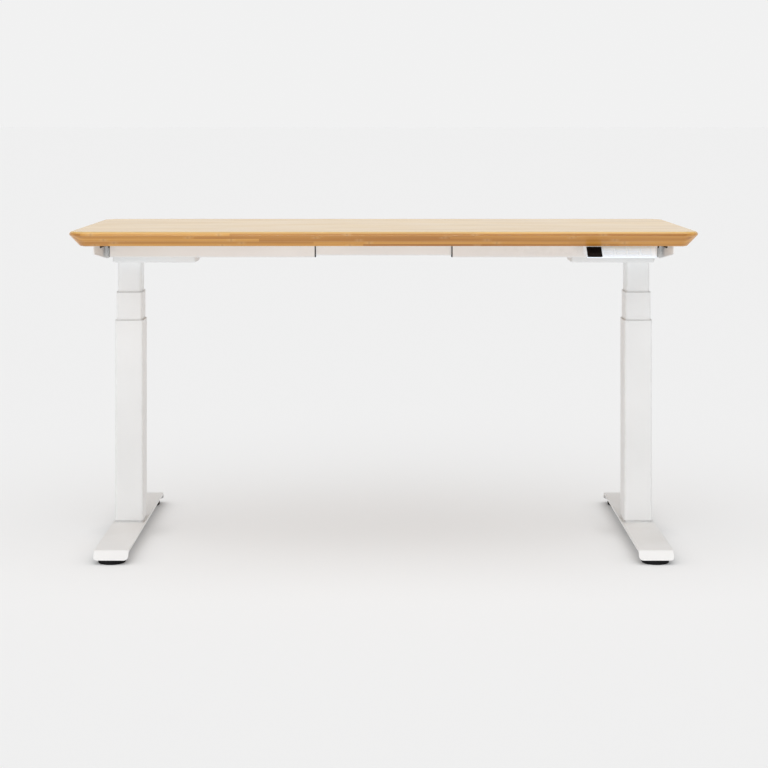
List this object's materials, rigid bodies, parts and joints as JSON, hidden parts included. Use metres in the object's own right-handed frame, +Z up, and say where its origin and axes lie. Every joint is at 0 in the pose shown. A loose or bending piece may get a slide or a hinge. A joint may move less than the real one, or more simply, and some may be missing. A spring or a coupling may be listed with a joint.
{
  "type": "height adjustable standing desk",
  "caption": "Sit-stand desk: bevelled bamboo top on two white telescoping motor-driven legs with long flat feet and a sloped handset under the front edge.",
  "frame": {"origin": "on the floor, below the middle of the desktop", "axes": "+X along the desk's width to the user's right, +Y from the front edge to the back edge, +Z up"},
  "size_m": [1.535, 0.71, 0.793],
  "materials": {
    "bamboo": "satin lacquered bamboo",
    "white_coat": "fine matt powder coat",
    "white_plastic": "fine moulded texture",
    "key_grey": "smooth key caps",
    "grey_plastic": "matt moulded guide",
    "black_plastic": "fine moulded texture",
    "dark_glass": "polished window",
    "lead_grey": "matt cable jacket",
    "zinc_steel": "bright zinc plate",
    "screw_steel": "oiled ground steel",
    "motor_steel": "dark plated motor can",
    "cast_alloy": "as-cast alloy",
    "bronze": "cut bronze"
  },
  "bodies": {
    "base": {"foot_left": "white_coat", "foot_right": "white_coat", "outer_tube_left": "white_coat", "outer_tube_right": "white_coat", "lower_collar_left": "grey_plastic", "lower_collar_right": "grey_plastic", "base_nut_tube_left": "zinc_steel", "base_nut_tube_right": "zinc_steel"},
    "glide_front_left_body": {"glide_front_left": "black_plastic"},
    "glide_rear_left_body": {"glide_rear_left": "black_plastic"},
    "glide_front_right_body": {"glide_front_right": "black_plastic"},
    "glide_rear_right_body": {"glide_rear_right": "black_plastic"},
    "middle_stage_left": {"middle_tube_left": "white_coat", "upper_collar_left": "grey_plastic", "middle_nut_tube_left": "zinc_steel"},
    "outer_screw_left": {"outer_spindle_left": "screw_steel"},
    "inner_screw_left": {"inner_spindle_left": "screw_steel", "worm_wheel_left": "bronze"},
    "worm_left": {"worm_shaft_left": "screw_steel"},
    "middle_stage_right": {"middle_tube_right": "white_coat", "upper_collar_right": "grey_plastic", "middle_nut_tube_right": "zinc_steel"},
    "outer_screw_right": {"outer_spindle_right": "screw_steel"},
    "inner_screw_right": {"inner_spindle_right": "screw_steel", "worm_wheel_right": "bronze"},
    "worm_right": {"worm_shaft_right": "screw_steel"},
    "key_up_body": {"key_up": "key_grey"},
    "key_down_body": {"key_down": "key_grey"},
    "key_memory_1_body": {"key_memory_1": "key_grey"},
    "key_memory_2_body": {"key_memory_2": "key_grey"},
    "key_memory_3_body": {"key_memory_3": "key_grey"},
    "key_memory_4_body": {"key_memory_4": "key_grey"},
    "key_store_body": {"key_store": "key_grey"},
    "top_frame": {"desktop": "bamboo", "inner_tube_left": "white_coat", "inner_tube_right": "white_coat", "motor_housing_left": "white_coat", "motor_housing_right": "white_coat", "saddle_left": "white_coat", "saddle_right": "white_coat", "side_bracket_left": "white_coat", "side_bracket_right": "white_coat", "front_rail_left": "white_coat", "front_rail_right": "white_coat", "front_rail_centre": "white_coat", "rear_rail_left": "white_coat", "rear_rail_right": "white_coat", "rear_rail_centre": "white_coat", "control_box": "black_plastic", "control_box_cover": "black_plastic", "power_inlet": "black_plastic", "handset_case": "white_plastic", "handset_display": "dark_glass", "handset_lead": "lead_grey", "motor_lead_left": "lead_grey", "motor_lead_right": "lead_grey", "motor_left": "motor_steel", "motor_right": "motor_steel", "gearbox_left": "cast_alloy", "gearbox_right": "cast_alloy"}
  },
  "joints": [
    {"name": "lift", "type": "slide", "parent": "base", "child": "top_frame", "axis": [0, 0, 1], "range_m": [-0.13, 0.5]},
    {"name": "middle_stage_left_slide", "type": "slide", "parent": "base", "child": "middle_stage_left", "axis": [0, 0, 1], "range_m": [-0.066, 0.251]},
    {"name": "outer_spindle_left_turn", "type": "hinge", "parent": "middle_stage_left", "child": "outer_screw_left", "pos_m": [-0.654, 0, 0], "axis": [0, 0, 1], "range_deg": [-2350, 9010]},
    {"name": "inner_spindle_left_turn", "type": "hinge", "parent": "top_frame", "child": "inner_screw_left", "pos_m": [-0.654, 0, 0], "axis": [0, 0, 1], "range_deg": [-2350, 9010]},
    {"name": "worm_left_turn", "type": "hinge", "parent": "top_frame", "child": "worm_left", "pos_m": [-0.654, 0.0245, 0.7262], "axis": [1, 0, 0], "range_deg": [-44500, 171100]},
    {"name": "middle_stage_right_slide", "type": "slide", "parent": "base", "child": "middle_stage_right", "axis": [0, 0, 1], "range_m": [-0.066, 0.251]},
    {"name": "outer_spindle_right_turn", "type": "hinge", "parent": "middle_stage_right", "child": "outer_screw_right", "pos_m": [0.654, 0, 0], "axis": [0, 0, 1], "range_deg": [-2350, 9010]},
    {"name": "inner_spindle_right_turn", "type": "hinge", "parent": "top_frame", "child": "inner_screw_right", "pos_m": [0.654, 0, 0], "axis": [0, 0, 1], "range_deg": [-2350, 9010]},
    {"name": "worm_right_turn", "type": "hinge", "parent": "top_frame", "child": "worm_right", "pos_m": [0.654, 0.0245, 0.7262], "axis": [1, 0, 0], "range_deg": [-44500, 171100]},
    {"name": "glide_front_left_adjust", "type": "slide", "parent": "base", "child": "glide_front_left_body", "axis": [0, 0, -1], "range_m": [0, 0.008]},
    {"name": "glide_rear_left_adjust", "type": "slide", "parent": "base", "child": "glide_rear_left_body", "axis": [0, 0, -1], "range_m": [0, 0.008]},
    {"name": "glide_front_right_adjust", "type": "slide", "parent": "base", "child": "glide_front_right_body", "axis": [0, 0, -1], "range_m": [0, 0.008]},
    {"name": "glide_rear_right_adjust", "type": "slide", "parent": "base", "child": "glide_rear_right_body", "axis": [0, 0, -1], "range_m": [0, 0.008]},
    {"name": "key_up_press", "type": "slide", "parent": "top_frame", "child": "key_up_body", "axis": [0, 0.5961, -0.8029], "range_m": [0, 0.0008], "stiffness_N_per_m": 1500},
    {"name": "key_down_press", "type": "slide", "parent": "top_frame", "child": "key_down_body", "axis": [0, 0.5961, -0.8029], "range_m": [0, 0.0008], "stiffness_N_per_m": 1500},
    {"name": "key_memory_1_press", "type": "slide", "parent": "top_frame", "child": "key_memory_1_body", "axis": [0, 0.5961, -0.8029], "range_m": [0, 0.0008], "stiffness_N_per_m": 1500},
    {"name": "key_memory_2_press", "type": "slide", "parent": "top_frame", "child": "key_memory_2_body", "axis": [0, 0.5961, -0.8029], "range_m": [0, 0.0008], "stiffness_N_per_m": 1500},
    {"name": "key_memory_3_press", "type": "slide", "parent": "top_frame", "child": "key_memory_3_body", "axis": [0, 0.5961, -0.8029], "range_m": [0, 0.0008], "stiffness_N_per_m": 1500},
    {"name": "key_memory_4_press", "type": "slide", "parent": "top_frame", "child": "key_memory_4_body", "axis": [0, 0.5961, -0.8029], "range_m": [0, 0.0008], "stiffness_N_per_m": 1500},
    {"name": "key_store_press", "type": "slide", "parent": "top_frame", "child": "key_store_body", "axis": [0, 0.5961, -0.8029], "range_m": [0, 0.0008], "stiffness_N_per_m": 1500}
  ],
  "couplings": [
    {"joint": "middle_stage_left_slide", "follows": "lift", "ratio": 0.5},
    {"joint": "outer_spindle_left_turn", "follows": "lift", "rad_per_m": 314.16},
    {"joint": "inner_spindle_left_turn", "follows": "lift", "rad_per_m": 314.16},
    {"joint": "worm_left_turn", "follows": "lift", "rad_per_m": 5969},
    {"joint": "middle_stage_right_slide", "follows": "lift", "ratio": 0.5},
    {"joint": "outer_spindle_right_turn", "follows": "lift", "rad_per_m": 314.16},
    {"joint": "inner_spindle_right_turn", "follows": "lift", "rad_per_m": 314.16},
    {"joint": "worm_right_turn", "follows": "lift", "rad_per_m": 5969}
  ]
}
